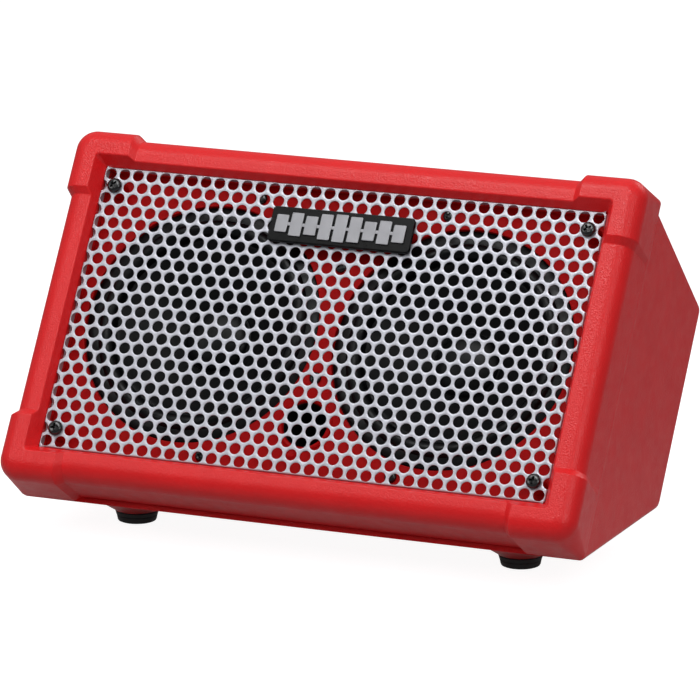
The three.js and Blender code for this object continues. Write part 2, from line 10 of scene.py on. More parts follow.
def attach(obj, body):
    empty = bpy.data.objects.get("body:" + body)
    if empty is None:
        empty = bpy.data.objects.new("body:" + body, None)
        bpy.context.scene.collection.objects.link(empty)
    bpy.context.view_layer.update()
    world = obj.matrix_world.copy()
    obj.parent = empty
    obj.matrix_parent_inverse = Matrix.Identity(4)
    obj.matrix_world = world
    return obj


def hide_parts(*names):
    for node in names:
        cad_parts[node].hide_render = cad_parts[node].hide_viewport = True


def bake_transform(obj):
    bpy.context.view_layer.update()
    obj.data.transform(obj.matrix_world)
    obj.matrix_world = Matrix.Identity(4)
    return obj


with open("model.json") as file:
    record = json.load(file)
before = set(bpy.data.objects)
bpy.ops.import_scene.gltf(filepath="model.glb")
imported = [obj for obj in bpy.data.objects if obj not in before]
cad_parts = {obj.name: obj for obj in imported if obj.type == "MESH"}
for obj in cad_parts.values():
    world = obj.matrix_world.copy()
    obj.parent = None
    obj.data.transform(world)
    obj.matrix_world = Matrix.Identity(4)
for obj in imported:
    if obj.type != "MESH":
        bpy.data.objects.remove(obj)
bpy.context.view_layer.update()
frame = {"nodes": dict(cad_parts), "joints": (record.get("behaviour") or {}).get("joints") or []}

# Looks of a portable guitar amplifier. Pieces are modelled in millimetres in three local frames:
# FRONT  x to the right, y back from the grille's face, z up along the leaning face
# PANEL  x to the right, y to the rear along the control panel, z out of the panel's face
# FLOOR  the row frame itself

GAP = 0.3
NODES = frame["nodes"]
JOINTS = {joint["name"]: joint for joint in frame["joints"]}

# ---- Local frames ----


def frame_matrix(y_axis, z_axis):
    rows = [[i == 0, y_axis[i], z_axis[i], 0] for i in range(3)]
    return Matrix([[float(v) / 1000 for v in row] for row in rows] + [[0, 0, 0, 1]])


def local_box(node, matrix):
    inverse = matrix.inverted()
    points = np.array([inverse @ v.co for v in NODES[node].data.vertices])
    return Vector(points.min(0)), Vector(points.max(0))


def split(box):
    """The middle and the half size of a box."""
    low, high = box
    return (low + high) / 2, (high - low) / 2


def middle(node, matrix):
    return split(local_box(node, matrix))[0]


X_AXIS = Vector((1, 0, 0))
INTO = -Vector(JOINTS["cone_left_travel"]["axis"]).normalized()
FRONT = frame_matrix(INTO, X_AXIS.cross(INTO))
low, high = local_box("grille", FRONT)
FRONT.translation = FRONT.to_3x3() @ Vector(((low.x + high.x) / 2, low.y, (low.z + high.z) / 2))

OUT = Vector(JOINTS["knob_1_turn"]["axis"]).normalized()
PANEL = frame_matrix(OUT.cross(X_AXIS), OUT)
low, high = local_box("control_panel", PANEL)
PANEL.translation = PANEL.to_3x3() @ Vector(((low.x + high.x) / 2, (low.y + high.y) / 2, high.z))

FLOOR = Matrix.Scale(0.001, 4)
FLOOR[3][3] = 1.0

GRILLE = local_box("grille", FRONT)
PITCH = (GRILLE[1].x + GAP) / 18
OPEN_X, OPEN_Z = GRILLE[1].x + GAP, GRILLE[1].z + GAP
BAFFLE = local_box("baffle", FRONT)
BAFFLE[0].y = BAFFLE[1].y - 4.0  # the board itself, without the posts that stand out in front
FRAME = local_box("front_frame", FRONT)
CASE = local_box("rear_case", FRONT)
SEAM = FRAME[1].y

# ---- Materials ----


def add_node(tree, kind, inputs=None, **settings):
    node = tree.nodes.new("ShaderNode" + kind)
    for key, value in settings.items():
        setattr(node, key, value)
    for key, value in (inputs or {}).items():
        if isinstance(value, bpy.types.NodeSocket):
            tree.links.new(value, node.inputs[key])
        else:
            node.inputs[key].default_value = value
    return node


def remap(tree, value, span, result):
    """Carries a value from one span over to another."""
    return add_node(tree, "MapRange", {
        "Value": value, "From Min": span[0], "From Max": span[1],
        "To Min": result[0], "To Max": result[1]}).outputs[0]


def linear(color):
    return [c / 12.92 if c <= 0.04045 else ((c + 0.055) / 1.055) ** 2.4 for c in color]


def surface(name, color, roughness, metallic=0.0, grain=0.6, depth=0.02, pebble=False,
            cloud=0.06, spread=0.08, coat=0.0, level=0.5, wear=0.0, extra=None):
    """A finish with clouded colour, uneven roughness and a fine grain. Sizes in millimetres."""
    look = bpy.data.materials.new(name)
    look.use_nodes = True
    tree = look.node_tree
    shader = tree.nodes["Principled BSDF"]
    where = add_node(tree, "TexCoord").outputs["Object"]
    base = linear(color)
    clouds = add_node(tree, "TexNoise", {"Vector": where, "Scale": 45.0, "Detail": 5.0})
    shade = remap(tree, clouds.outputs["Fac"], (0.3, 0.7), (1 - cloud, 1 + cloud))
    tint = add_node(tree, "VectorMath", {0: base, "Scale": shade}, operation="SCALE")
    tone = tint.outputs[0]
    smears = add_node(tree, "TexNoise", {"Vector": where, "Scale": 130.0, "Detail": 3.0})
    rough = remap(tree, smears.outputs["Fac"], (0.3, 0.7), (roughness - spread, roughness + spread))
    if pebble:
        cells = add_node(tree, "TexVoronoi", {
            "Vector": where, "Scale": 1000 / grain, "Smoothness": 0.6, "Randomness": 1.0},
            feature="SMOOTH_F1")
        height = cells.outputs["Distance"]
    else:
        cells = add_node(tree, "TexNoise", {"Vector": where, "Scale": 1000 / grain, "Detail": 2.0})
        height = cells.outputs["Fac"]
    bump = add_node(tree, "Bump", {"Height": height, "Strength": 1.0, "Distance": depth / 1000})
    if wear > 0:
        edge = add_node(tree, "Bevel", {"Radius": 0.0009}, samples=4)
        plain = add_node(tree, "NewGeometry")
        facing = add_node(tree, "VectorMath", {
            0: edge.outputs[0], 1: plain.outputs["Normal"]}, operation="DOT_PRODUCT")
        worn = remap(tree, facing.outputs["Value"], (0.96, 0.80), (0.0, wear))
        light = [min(1.0, c * 1.5 + 0.04) for c in base]
        mixed = add_node(tree, "Mix", {0: worn, 6: tone, 7: (*light, 1.0)}, data_type="RGBA")
        tone = mixed.outputs[2]
    tree.links.new(tone, shader.inputs["Base Color"])
    tree.links.new(rough, shader.inputs["Roughness"])
    tree.links.new(bump.outputs[0], shader.inputs["Normal"])
    values = {"Metallic": metallic, "Specular IOR Level": level, "Coat Weight": coat}
    for key, value in {**values, **(extra or {})}.items():
        shader.inputs[key].default_value = value
    return look


RED = surface("red_plastic", (0.90, 0.10, 0.115), 0.36, grain=1.05, depth=0.16, pebble=True,
              cloud=0.035, spread=0.05, level=0.38, wear=0.35)
# The speaker board takes the case's red, made darker and deeper to paint in the shade that falls behind
# the grille: painted shade.
RED_SHADED = surface("red_board_shaded", (0.74, 0.015, 0.03), 0.55, grain=0.8, depth=0.03, cloud=0.04,
                    level=0.12)
STEEL = surface("grille_steel", (0.73, 0.735, 0.77), 0.36, metallic=0.35, grain=0.5, depth=0.006,
                cloud=0.03, spread=0.05, wear=0.5)
BADGE_BLACK = surface("badge_black", (0.02, 0.022, 0.026), 0.32, grain=0.7, depth=0.004,
                      level=0.15, wear=0.1)
BADGE_SILVER = surface("badge_silver", (0.56, 0.56, 0.575), 0.38, metallic=0.6, grain=0.4,
                       depth=0.006, wear=0.3)
SCREW = surface("black_screw", (0.025, 0.03, 0.033), 0.22, grain=0.5, depth=0.008, coat=0.4,
                wear=0.15)
RUBBER = surface("rubber", (0.055, 0.055, 0.06), 0.62, grain=0.5, depth=0.03, cloud=0.15)
SURROUND = surface("speaker_rubber", (0.022, 0.026, 0.036), 0.36, grain=0.7, depth=0.02, cloud=0.12,
                   level=0.25)
CONE = surface("cone_paper", (0.03, 0.034, 0.044), 0.5, grain=1.4, depth=0.10, cloud=0.2, level=0.3)
BASKET = surface("basket_steel", (0.10, 0.10, 0.105), 0.45, metallic=0.6, grain=0.6, depth=0.02)
FERRITE = surface("ferrite", (0.22, 0.22, 0.23), 0.6, grain=0.9, depth=0.04, cloud=0.12)
BLACK = surface("black_plastic", (0.075, 0.077, 0.083), 0.46, grain=0.45, depth=0.02, cloud=0.08,
                wear=0.3)
PANEL_BLACK = surface("panel_black", (0.068, 0.07, 0.076), 0.52, grain=0.35, depth=0.012,
                      cloud=0.06, wear=0.25)
KNOB = surface("knob_plastic", (0.085, 0.086, 0.092), 0.40, grain=0.4, depth=0.015, cloud=0.06,
               wear=0.35)
PRINT = surface("panel_print", (0.84, 0.85, 0.86), 0.5, grain=0.3, depth=0.004, cloud=0.03)
CIRCUIT = surface("circuit_green", (0.07, 0.30, 0.15), 0.4, grain=1.2, depth=0.02, cloud=0.15,
                  coat=0.2)
SOCKET = surface("socket_metal", (0.74, 0.74, 0.76), 0.26, metallic=0.95, grain=0.3, depth=0.008)
LAMP = surface("lamp_red", (0.85, 0.10, 0.06), 0.16, grain=0.6, depth=0.004, coat=0.6,
               extra={"Emission Color": (1.0, 0.06, 0.02, 1.0), "Emission Strength": 0.25})
CELL = surface("cell_sleeve", (0.42, 0.44, 0.47), 0.34, metallic=0.5, grain=0.7, depth=0.01)

# ---- Meshes ----


def placed(name, data):
    """A new object in the scene."""
    obj = bpy.data.objects.new(name, data)
    bpy.context.scene.collection.objects.link(obj)
    return obj


def as_data(mesh, name="part"):
    """Turns an edited mesh into mesh data."""
    data = bpy.data.meshes.new(name)
    mesh.to_mesh(data)
    mesh.free()
    return data


def evaluated(obj):
    """The mesh of an object as its modifiers or its curve make it."""
    depsgraph = bpy.context.evaluated_depsgraph_get()
    return bpy.data.meshes.new_from_object(obj.evaluated_get(depsgraph))


def from_curve(curve):
    """The mesh of a curve or a text, which is used up."""
    holder = placed("outline", curve)
    data = evaluated(holder)
    bpy.data.objects.remove(holder)
    bpy.data.curves.remove(curve)
    return data


def add_data(total, data):
    """Adds mesh data to an edited mesh. The data is used up."""
    total.from_mesh(data)
    bpy.data.meshes.remove(data)
    return total


def moved(mesh, *offset):
    mesh.transform(Matrix.Translation(offset))
    return mesh


def loft(mesh, loops, ring=False):
    """A skin through closed loops of points, with end caps unless the loops form a ring."""
    rows = [[mesh.verts.new(point) for point in loop] for loop in loops]
    count = len(rows[0])
    for i in range(len(rows) - (0 if ring else 1)):
        here, there = rows[i], rows[(i + 1) % len(rows)]
        for j in range(count):
            k = (j + 1) % count
            mesh.faces.new((here[j], here[k], there[k], there[j]))
    if not ring:
        mesh.faces.new(rows[0])
        mesh.faces.new(rows[-1])
    return mesh


def turned(mesh, profile, centre=(0, 0, 0), axis="y", steps=48):
    """A body of revolution. The profile is a list of (radius, distance along the axis).

    A profile that starts off the axis closes on itself.
    """
    closed = profile[0][0] > 0
    loops = []
    for radius, along in profile:
        loop = []
        for k in range(steps):
            turn = 2 * math.pi * k / steps
            a, b = max(radius, 1e-4) * math.cos(turn), max(radius, 1e-4) * math.sin(turn)
            point = (a, along, b) if axis == "y" else (a, b, along)
            loop.append(Vector(point) + Vector(centre))
        loops.append(loop)
    return loft(mesh, loops, ring=closed)


def rounded(half_x, half_y, radius, steps=6):
    """The outline of a rounded rectangle."""
    radius = max(radius, 0.01)
    points = []
    for sx, sy, start in ((1, 1, 0), (-1, 1, 1), (-1, -1, 2), (1, -1, 3)):
        for i in range(steps + 1):
            turn = math.pi / 2 * (start + i / steps)
            points.append((sx * (half_x - radius) + radius * math.cos(turn),
                           sy * (half_y - radius) + radius * math.sin(turn)))
    return points


def circle(radius, x=0.0, y=0.0, steps=48, start=0.0):
    turns = [start + 2 * math.pi * k / steps for k in range(steps)]
    return [(x + radius * math.cos(t), y + radius * math.sin(t)) for t in turns]


def slab(outer, holes, near, far, bevel, axis="y"):
    """A flat plate with holes and rounded edges, between two depths."""
    curve = bpy.data.curves.new("outline", "CURVE")
    curve.dimensions = "2D"
    curve.fill_mode = "BOTH"
    for outline in [outer, *holes]:
        spline = curve.splines.new("POLY")
        spline.points.add(len(outline) - 1)
        for point, (x, y) in zip(spline.points, outline):
            point.co = (x, y, 0, 1)
        spline.use_cyclic_u = True
    curve.extrude = abs(far - near) / 2 - bevel
    curve.bevel_depth = bevel
    curve.bevel_resolution = 1
    curve.offset = -bevel
    mesh = add_data(bmesh.new(), from_curve(curve))
    bmesh.ops.remove_doubles(mesh, verts=mesh.verts, dist=1e-4)
    if axis == "z":
        return moved(mesh, 0, 0, (near + far) / 2)
    mesh.transform(Matrix.Rotation(math.pi / 2, 4, "X"))
    return moved(mesh, 0, (near + far) / 2, 0)


def block(mesh, centre, half, bevel=0.4, axis="z", corner=1.0, steps=3):
    """A rounded rectangular block. The corner rounds its outline, the bevel its two ends."""
    hx, hy, hz = half
    loops = []
    bevel = min(bevel, hz * 0.9)
    ends = [(-hz, bevel), (-hz + bevel * 0.3, bevel * 0.3), (-hz + bevel, 0),
            (hz - bevel, 0), (hz - bevel * 0.3, bevel * 0.3), (hz, bevel)]
    for along, inset in ends:
        loop = []
        for x, y in rounded(hx - inset, hy - inset, max(corner - inset, 0.15), steps):
            point = {"z": (x, y, along), "y": (x, along, y)}[axis]
            loop.append(Vector(point) + Vector(centre))
        loops.append(loop)
    return loft(mesh, loops)


def merged(*parts):
    """Several meshes in one."""
    total = bmesh.new()
    for part in parts:
        add_data(total, as_data(part))
    return total


def boolean(base, cutters, operation="DIFFERENCE"):
    """Cuts solids out of a solid, or joins them to it."""
    holder = temporary(base)
    for cutter in cutters:
        tool = temporary(cutter)
        step = holder.modifiers.new("cut", "BOOLEAN")
        step.object = tool
        step.operation = operation
        step.solver = "MANIFOLD"
        data = evaluated(holder)
        holder.modifiers.clear()
        old, holder.data = holder.data, data
        bpy.data.meshes.remove(old)
        bpy.data.meshes.remove(tool.data)
    return add_data(bmesh.new(), holder.data)


def temporary(mesh):
    bmesh.ops.recalc_face_normals(mesh, faces=mesh.faces)
    return placed("temporary", as_data(mesh))


def piece(name, mesh, matrix, look, body="cabinet", replaces=(), smooth=32,
          weighted=True, ride=True):
    """number to a look whose name the CAD's own material has, and the slot goes without it.
    """
    mesh.transform(matrix)
    bmesh.ops.recalc_face_normals(mesh, faces=mesh.faces)
    if mesh.calc_volume(signed=True) < 0:  # the line above can turn a long bolt inside out
        bmesh.ops.reverse_faces(mesh, faces=mesh.faces)
    data = as_data(mesh, name)
    data.polygons.foreach_set("use_smooth", [True] * len(data.polygons))
    data.set_sharp_from_angle(angle=math.radians(smooth))
    data.materials.append(look)
    obj = placed(name, data)
    if weighted:
        step = obj.modifiers.new("normals", "WEIGHTED_NORMAL")
        step.keep_sharp = True
    if ride:
        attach(obj, body)
    if replaces:
        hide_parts(*replaces)
    return obj


# ---- Front frame ----

BAR = {"half": (FRAME[1].x - 3.0, FRAME[1].z - 3.3), "taper": (0.1, 0.1), "front": 5.5, "bevel": 3.2}
GUARD = {"half": (FRAME[1].x, FRAME[1].z), "taper": (3.1, 0.1), "front": -FRAME[0].y, "bevel": 5.6}
GUARD_LENGTH, GUARD_RAMP, RAMP_SOFT = 42.0, 4.4, 0.45
EDGE, CORNER, BACK_CORNER, WALL = 12.0, 14.0, 3.0, 4.0
BAND = 36.0


def band_row(shape, inset, y):
    """Half width, half height and corner radius where the band tapers back, and the depth."""
    start = EDGE - shape["front"]
    share = max(0.0, (y - start) / (BAND - start))
    corner = max(CORNER + (BACK_CORNER - CORNER) * share - inset, 0.5)
    half = [shape["half"][k] - inset - shape["taper"][k] * share for k in (0, 1)]
    return [*half, corner, y]


def frame_section(shape):
    """Rows of half width, half height, corner radius and depth, with each row's softening."""
    lip = BAFFLE[0].y - GAP
    bevel, front = shape["bevel"], shape["front"]
    rows = [
        ([OPEN_X, OPEN_Z, 0.8, lip], 0),
        ([OPEN_X, OPEN_Z, 0.8, 0.8], 0.5),
        ([OPEN_X + bevel, OPEN_Z + bevel, 3, -front], 0.9),
    ]
    for i in range(13):
        turn = math.pi / 2 * i / 12
        shrink = EDGE * (1 - math.sin(turn))
        rows.append(([shape["half"][0] - shrink, shape["half"][1] - shrink, CORNER - shrink,
                      EDGE * (1 - math.cos(turn)) - front], 0))
    rows += [(band_row(shape, 0, SEAM), 0.15), (band_row(shape, WALL, SEAM), 0),
             (band_row(shape, WALL, lip), 0)]
    return soften(rows)


def soften(rows):
    """Rounds the marked rows of a closed section."""
    result = []
    for i, (row, amount) in enumerate(rows):
        row = np.array(row, float)
        if not amount:
            result.append(row)
            continue
        before = np.array(rows[i - 1][0], float)
        after = np.array(rows[(i + 1) % len(rows)][0], float)
        start = row + (before - row) * amount / math.hypot(*(before - row)[[0, 3]])
        end = row + (after - row) * amount / math.hypot(*(after - row)[[0, 3]])
        for t in (0, 0.25, 0.5, 0.75, 1):
            result.append((1 - t) ** 2 * start + 2 * t * (1 - t) * row + t * t * end)
    return result


def ramp_stops(length):
    """The share of a guard's section along its end, with small rounded edges."""
    bends = [(RAMP_SOFT * t, RAMP_SOFT * (t + 1) ** 2 / (4 * length)) for t in (-1, -0.5, 0, 0.5, 1)]
    return ([(along, 1 - fall) for along, fall in bends]
            + [(length - along, fall) for along, fall in reversed(bends)])


def frame_stations():
    """Every station around the frame is the guard's share and a rule that places one row."""
    ramp_x, ramp_z = FRAME[1].x - GUARD_LENGTH, FRAME[1].z - GUARD_LENGTH
    stations = []

    def corner(sx, sz, start):
        for i in range(15):
            turn = math.pi / 2 * (start + i / 14)
            stations.append((1.0, lambda hw, hh, r, t=turn, sx=sx, sz=sz: (
                sx * (hw - r) + r * math.cos(t), sz * (hh - r) + r * math.sin(t))))

    def side(start, place):
        sign = 1 if start > 0 else -1
        stops = ramp_stops(GUARD_RAMP)
        for along, share in stops:
            stations.append((share, place(start - sign * along)))
        for along, share in reversed(stops):
            stations.append((share, place(-start + sign * along)))

    corner(1, 1, 0)
    side(ramp_x, lambda at: lambda hw, hh, r: (at, hh))
    corner(-1, 1, 1)
    side(ramp_z, lambda at: lambda hw, hh, r: (-hw, at))
    corner(-1, -1, 2)
    side(-ramp_x, lambda at: lambda hw, hh, r: (at, -hh))
    corner(1, -1, 3)
    side(-ramp_z, lambda at: lambda hw, hh, r: (hw, at))
    return stations


def band(make_section):
    """The ring around the front, whose section swells from bar to guard at each corner."""
    bar_rows, guard_rows = make_section(BAR), make_section(GUARD)
    loops = []
    for share, place in frame_stations():
        loop = []
        for a, b in zip(bar_rows, guard_rows):
            row = a + (b - a) * share
            x, z = place(*row[:3])
            loop.append((x, row[3], z))
        loops.append(loop)
    return loft(bmesh.new(), loops, ring=True)


piece("front_bezel", band(frame_section), FRONT, RED, replaces=["front_frame"], smooth=40)

# ---- Screws ----


def cross_cutter(size, depth, at):
    """A tapered cross, open at the top, for a screw's recess. It points along -y."""
    arms = []
    for wide, high in ((size, size * 0.27), (size * 0.27, size)):
        mesh = bmesh.new()
        loops = []
        for y, scale in ((at + depth, 0.45), (at, 1.0), (at - 2, 1.0)):
            k = scale if wide > high else 1.0
            m = 1.0 if wide > high else scale
            loops.append([(x * k, y, z * m) for x, z in rounded(wide, high, 0.1, 2)])
        arms.append(loft(mesh, loops))
    return arms


def screw_mesh(radius, height, shank=0.0):
    """A pan head with a cross recess. Its seat is at y = 0 and it points along -y."""
    profile = [(0.0, 0.0)]
    if shank:
        profile = [(0.0, shank), (radius * 0.4, shank - 1), (radius * 0.4, 0.0)]
    profile += [(radius * 0.96, 0.0), (radius, -0.12 * height)]
    for i in range(1, 7):
        turn = math.pi / 2 * i / 6
        profile.append((radius * (0.42 + 0.58 * math.cos(turn) ** 0.8),
                        -height * (0.25 + 0.75 * math.sin(turn))))
    profile.append((0.0, -height * 1.02))
    head = turned(bmesh.new(), profile, steps=32)
    return boolean(head, cross_cutter(radius * 0.56, height * 0.72, -height))


def copies(source, places):
    """One mesh with a copy at each place, turned about y by its own angle."""
    total = bmesh.new()
    for place, angle in places:
        part = source.copy()
        part.transform(Matrix.Translation(place) @ Matrix.Rotation(angle, 4, "Y"))
        add_data(total, as_data(part))
    source.free()
    return total


GRILLE_SCREWS = [middle(f"grille_screw_{k}", FRONT) for k in range(1, 5)]
for k, at in enumerate(GRILLE_SCREWS, 1):
    shank = local_box(f"grille_screw_{k}", FRONT)[1].y
    head = copies(screw_mesh(5.0, 3.3, shank), [((at.x, -GAP, at.z), 0.5 + 0.9 * k)])
    piece(f"grille_bolt_{k}", head, FRONT, SCREW, replaces=[f"grille_screw_{k}"])

# ---- Grille ----

SHEET, BEND, HOLE, RIM = 0.7, 0.9, 3.85, 0.14
BEND_X, BEND_Z = GRILLE[1].x - BEND, GRILLE[1].z - BEND
ROW_STEP = PITCH * math.sqrt(3) / 2


def grille_cells():
    """Centres of the round holes on a 60 degree pattern, flat, and the blank cells around them."""
    holes, blanks = [], []
    for n in range(-12, 13):
        z = n * ROW_STEP
        xs = [i + 0.5 for i in range(-19, 19)] if n % 2 else range(-18, 19)
        for x in xs:
            blank = abs(n) == 12 or abs(x) > 18
            (blanks if blank else holes).append((x * PITCH, z))
    return holes, blanks


def grille_sheet():
    """The perforated sheet, laid out flat as (x, depth, z). Its outer edges are still open."""
    points, faces, known = [], [], {}
    edge_x, edge_z = 18.5 * PITCH, 12 * ROW_STEP

    def add(x, z, depth, shared=False):
        key = (round(x, 3), round(z, 3), depth)
        if shared and key in known:
            return known[key]
        points.append((x, depth, z))
        if shared:
            known[key] = len(points) - 1
        return len(points) - 1

    corners = circle(PITCH / math.sqrt(3), steps=6, start=math.pi / 6)
    ring = circle(1, steps=24, start=math.pi / 6)
    holes, blanks = grille_cells()
    for cx, cz in holes:
        rings = [[add(cx + r * c, cz + r * s, depth) for c, s in ring]
                 for r, depth in ((HOLE + RIM, 0.0), (HOLE + RIM * 0.3, RIM * 0.3),
                                  (HOLE, RIM), (HOLE, SHEET))]
        for depth, hoop in ((0.0, rings[0]), (SHEET, rings[3])):
            outer = [add(cx + x, cz + z, depth, True) for x, z in corners]
            for s in range(6):
                arc = [hoop[(4 * s + j) % 24] for j in range(4, -1, -1)]
                faces.append([outer[s], outer[(s + 1) % 6], *arc])
        for a, b in zip(rings, rings[1:]):
            for j in range(24):
                k = (j + 1) % 24
                faces.append([a[j], a[k], b[k], b[j]])
    for cx, cz in blanks:
        shape = [(min(max(cx + x, -edge_x), edge_x), min(max(cz + z, -edge_z), edge_z))
                 for x, z in corners]
        if len({(round(x, 3), round(z, 3)) for x, z in shape}) < 3:
            continue
        for depth in (0.0, SHEET):
            faces.append(list(dict.fromkeys(add(x, z, depth, True) for x, z in shape)))
    data = bpy.data.meshes.new("sheet")
    data.from_pydata(points, [], faces)
    return add_data(bmesh.new(), data)


def fold(value, start, depth):
    """A flat distance past a bend line as (distance out, depth)."""
    past = abs(value) - start
    if past <= 0:
        return value, depth
    arc = BEND * math.pi / 2
    turn = min(past, arc) / BEND
    out = start + (BEND - depth) * math.sin(turn)
    back = BEND - (BEND - depth) * math.cos(turn) + max(0.0, past - arc)
    return math.copysign(out, value), back


def crease(mesh, axis, at):
    """Adds a row of edges straight across the sheet, where it bends."""
    near = [f for f in mesh.faces if any(abs(v.co[axis] - at) < 7 for v in f.verts)]
    geometry = {element for f in near for element in (f, *f.verts, *f.edges)}
    normal = Vector([float(i == axis) for i in range(3)])
    bmesh.ops.bisect_plane(mesh, geom=list(geometry), dist=1e-5, plane_co=normal * at, plane_no=normal)


def perforated_grille():
    mesh = grille_sheet()
    for axis, start in ((0, BEND_X), (2, BEND_Z)):
        for sign in (-1, 1):
            for share in (0, 0.25, 0.5, 0.75, 1):
                crease(mesh, axis, sign * (start + BEND * math.pi / 2 * share))
    notch = [f for f in mesh.faces
             if abs(f.calc_center_median().x) > BEND_X and abs(f.calc_center_median().z) > BEND_Z]
    bmesh.ops.delete(mesh, geom=notch, context="FACES")
    behind = {(round(v.co.x, 3), round(v.co.z, 3)): v for v in mesh.verts
              if abs(v.co.y - SHEET) < 1e-6}
    for edge in [e for e in mesh.edges if e.is_boundary]:
        a, b = edge.verts
        if max(abs(a.co.y), abs(b.co.y)) > 1e-6:
            continue
        c = behind.get((round(b.co.x, 3), round(b.co.z, 3)))
        d = behind.get((round(a.co.x, 3), round(a.co.z, 3)))
        if c and d:
            mesh.faces.new((a, b, c, d))
    for vertex in mesh.verts:
        x, depth, z = vertex.co
        if abs(x) > BEND_X:
            x, depth = fold(x, BEND_X, depth)
        elif abs(z) > BEND_Z:
            z, depth = fold(z, BEND_Z, depth)
        vertex.co = (x, depth, z)
    return mesh


piece("perforated_grille", perforated_grille(), FRONT, STEEL, replaces=["grille"], smooth=50,
      weighted=False)

# ---- Badge ----

centre, half = split(local_box("badge_plate", FRONT))
badge = block(bmesh.new(), centre, (half.x, half.z, half.y), bevel=0.9, axis="y", corner=2.5)
piece("badge_black", badge, FRONT, BADGE_BLACK, replaces=["badge_plate"])

BAR_HEIGHTS, BAR_STEP, BAR_HALF = [12, 16, 13, 17.5, 19, 17.5, 13, 16, 12], 10.2, 4.2
at, half = split(local_box("badge_motif", FRONT))
motif = bmesh.new()
for k, tall in enumerate(BAR_HEIGHTS):
    x = (k - (len(BAR_HEIGHTS) - 1) / 2) * BAR_STEP
    block(motif, (x, at.y, centre.z), (BAR_HALF, tall / 2, half.y), bevel=0.35, axis="y", corner=0.7)
block(motif, (0, at.y + 0.15, centre.z), (44.5, 1.1, 0.3), bevel=0.2, axis="y", corner=0.4)
piece("badge_level_bars", motif, FRONT, BADGE_SILVER, replaces=["badge_motif"])

# ---- Baffle ----

SPEAKER_HOLE = 81.0
SPEAKERS = {side: middle(f"speaker_cone_{side}", FRONT).x for side in ("left", "right")}
PORT = middle("bass_port", FRONT)
low, high = BAFFLE
board = slab(
    rounded(high.x, high.z, CORNER - WALL, 8),
    [*[circle(SPEAKER_HOLE, x, 0, 96) for x in SPEAKERS.values()],
     circle(16.6, PORT.x, PORT.z), *[circle(2.6, p.x, p.z, 16) for p in GRILLE_SCREWS]],
    low.y, high.y, 0.8)
posts = bmesh.new()
for at in GRILLE_SCREWS:
    turned(posts, [(2.6, low.y + 1), (2.6, 1.6), (4.4, 1.6), (5.0, 2.2), (5.6, low.y + 1)],
           (at.x, 0, at.z), steps=28)
turned(posts, [(15.0, low.y + 1), (15.0, low.y + 0.6), (15.7, low.y - 0.9), (16.9, low.y - 1.2),
               (18.1, low.y - 0.7), (18.6, low.y + 0.4), (18.6, low.y + 1), (16.8, high.y)],
       (PORT.x, 0, PORT.z))
turned(posts, [(2.1, low.y + 1), (2.1, low.y - 0.6), (3.2, low.y - 1.0), (4.2, low.y - 0.6),
               (4.4, low.y + 1)], (PORT.x - 4.9, 0, PORT.z - 19.3), steps=24)
# The board's darkened red is painted shade for the space behind the grille.
piece("speaker_board", merged(board, posts), FRONT, RED_SHADED,
      replaces=["baffle"])

spots = [(65.7 * sx, 88.5 * sz) for sx in (-1, 1) for sz in (-1, 1)] + [(0, 47.4), (0, -28.7)]
heads = copies(screw_mesh(4.0, 2.4), [((x, low.y, z), 0.7 * k) for k, (x, z) in enumerate(spots)])
piece("board_screws", heads, FRONT, SCREW)

low, high = local_box("bass_port", FRONT)
tube = turned(bmesh.new(), [(15.0, high.y), (15.0, low.y - 2.6), (15.6, low.y - 3.3),
                            (16.2, low.y - 2.6), (16.2, low.y), (17.4, low.y), (17.4, high.y)],
              (PORT.x, 0, PORT.z))
piece("port_tube", tube, FRONT, BLACK, replaces=["bass_port"])

# ---- Loudspeakers ----

CONE_EDGE, CONE_THROAT, CONE_DEPTH = 61.0, 17.2, 28.5
ROLL_MIDDLE, ROLL_SEAT = 66.9, 15.0
SURROUND_OUTER, SURROUND_INNER = 73.0, 61.5


def cone_profile(low, high):
    """The paper cone with its ribs, as a closed section from the rim in and back."""
    front, back = [], []
    rim = CONE_EDGE - 1.1
    for k in range(25):
        t = k / 24
        radius = rim + (CONE_THROAT - rim) * t
        depth = low.y + CONE_DEPTH * t ** 0.92
        rib = 0.33 * math.sin(math.pi * min(max((t - 0.12) / 0.66, 0), 1) * 6) ** 2
        front.append((radius, depth - rib))
        back.append((radius + 1.0, depth + 1.7 - rib))
    return [(CONE_EDGE, low.y), *front, (CONE_THROAT, high.y), (CONE_THROAT + 1.2, high.y),
            *back[::-1], (CONE_EDGE, low.y + 1.4)]


def roll(radius, shares):
    """The half round of the surround, or a part of it."""
    return [(ROLL_MIDDLE + radius * math.cos(math.pi * t), ROLL_SEAT - radius * math.sin(math.pi * t))
            for t in shares]


